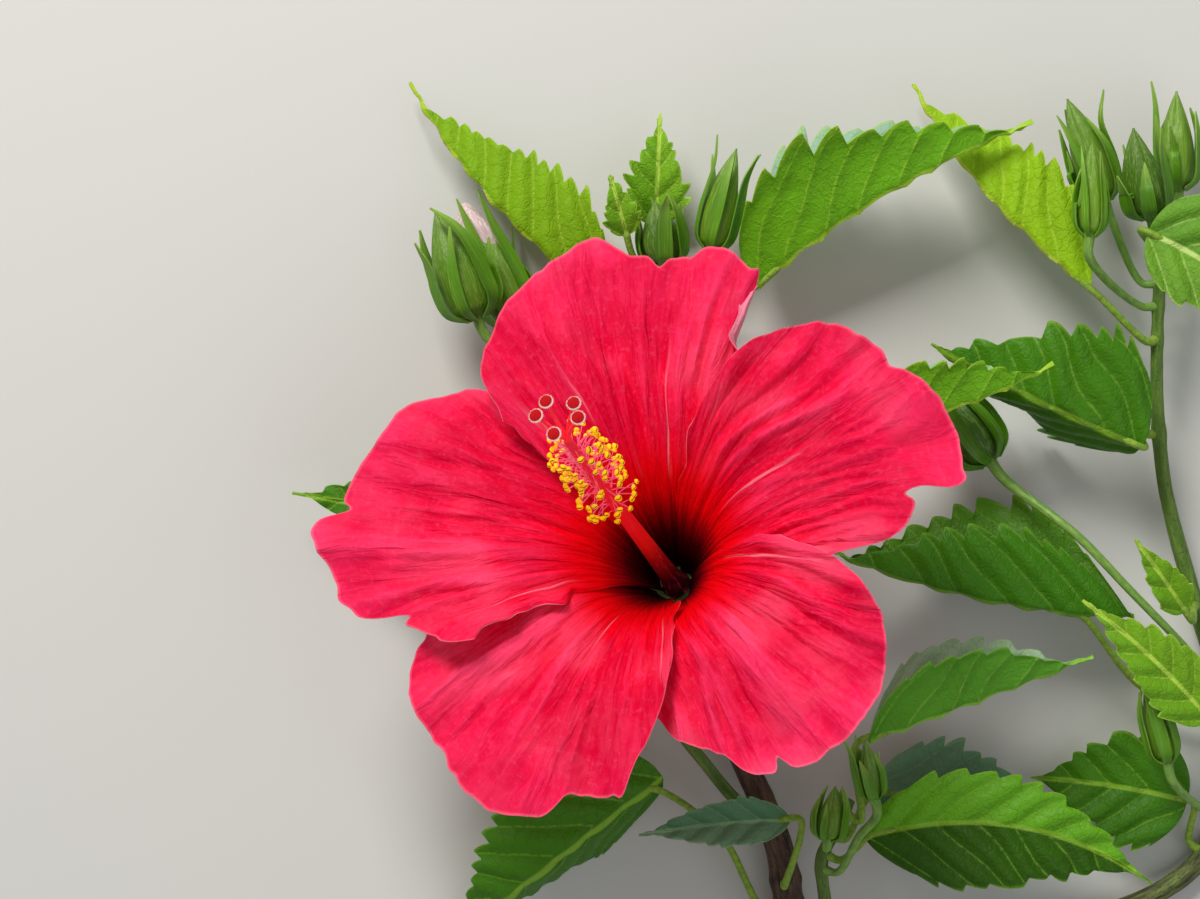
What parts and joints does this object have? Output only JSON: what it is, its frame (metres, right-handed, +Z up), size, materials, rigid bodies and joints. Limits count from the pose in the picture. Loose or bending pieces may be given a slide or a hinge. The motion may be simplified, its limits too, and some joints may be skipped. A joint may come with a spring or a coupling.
{
  "type": "cut hibiscus branch in bloom",
  "caption": "Cut flowering branch of a garden hibiscus, lying on its back, with an open red bloom facing up, toothed leaves, green buds and a woody stem.",
  "frame": {"origin": "on the ground under the middle of the lying branch, at the centre of its box's bottom face", "axes": "+Z up from the ground, the bloom facing up; +Y from the cut end towards the shoot tip; +X towards the leafy side branch"},
  "size_m": [0.1994, 0.2128, 0.0907],
  "materials": {
    "petal_red": "soft, finely creased, slightly velvety",
    "column_red": "satin, with yellow anthers",
    "leaf_green": "glossy upper side, paler veins",
    "young_leaf_green": "satin, thin and bright",
    "bud_green": "satin with a silvery bloom",
    "stem_green": "smooth young bark, satin",
    "bark_brown": "rough, matte bark"
  },
  "bodies": {
    "root": {"main_stem": "bark_brown", "right_branch_lower": "stem_green", "right_branch_upper": "stem_green", "green_shoot": "stem_green", "flower_stalk": "stem_green", "leaf_top_left": "leaf_green", "leaf_shoot_tip": "young_leaf_green", "leaf_shoot_small": "young_leaf_green", "leaf_top_right": "leaf_green", "leaf_behind_left": "leaf_green", "leaf_behind_right": "leaf_green", "leaf_right_upper": "leaf_green", "leaf_right_edge": "leaf_green", "leaf_right_middle": "leaf_green", "leaf_right_lower": "leaf_green", "leaf_lower_right": "leaf_green", "leaf_bottom_right": "leaf_green", "leaf_bottom_dark": "leaf_green", "leaf_bottom_left": "leaf_green", "leaf_bottom_narrow": "leaf_green", "leaf_far_right": "young_leaf_green", "leaf_far_small": "young_leaf_green", "leaf_low_right": "leaf_green", "bud_top_middle": "bud_green", "bud_top_right": "bud_green", "bud_left_front": "bud_green", "bud_left_back": "bud_green", "bud_right_cluster_left": "bud_green", "bud_right_cluster_slim": "bud_green", "bud_right_cluster_middle": "bud_green", "bud_right_cluster_edge": "bud_green", "bud_right_large": "bud_green", "bud_lower_slim": "bud_green", "bud_lower_wide": "bud_green", "bud_far_right": "bud_green", "petal_top": "petal_red", "petal_right": "petal_red", "petal_lower_right": "petal_red", "petal_lower_left": "petal_red", "petal_left": "petal_red", "calyx": "bud_green", "staminal_column": "column_red"}
  },
  "joints": []
}
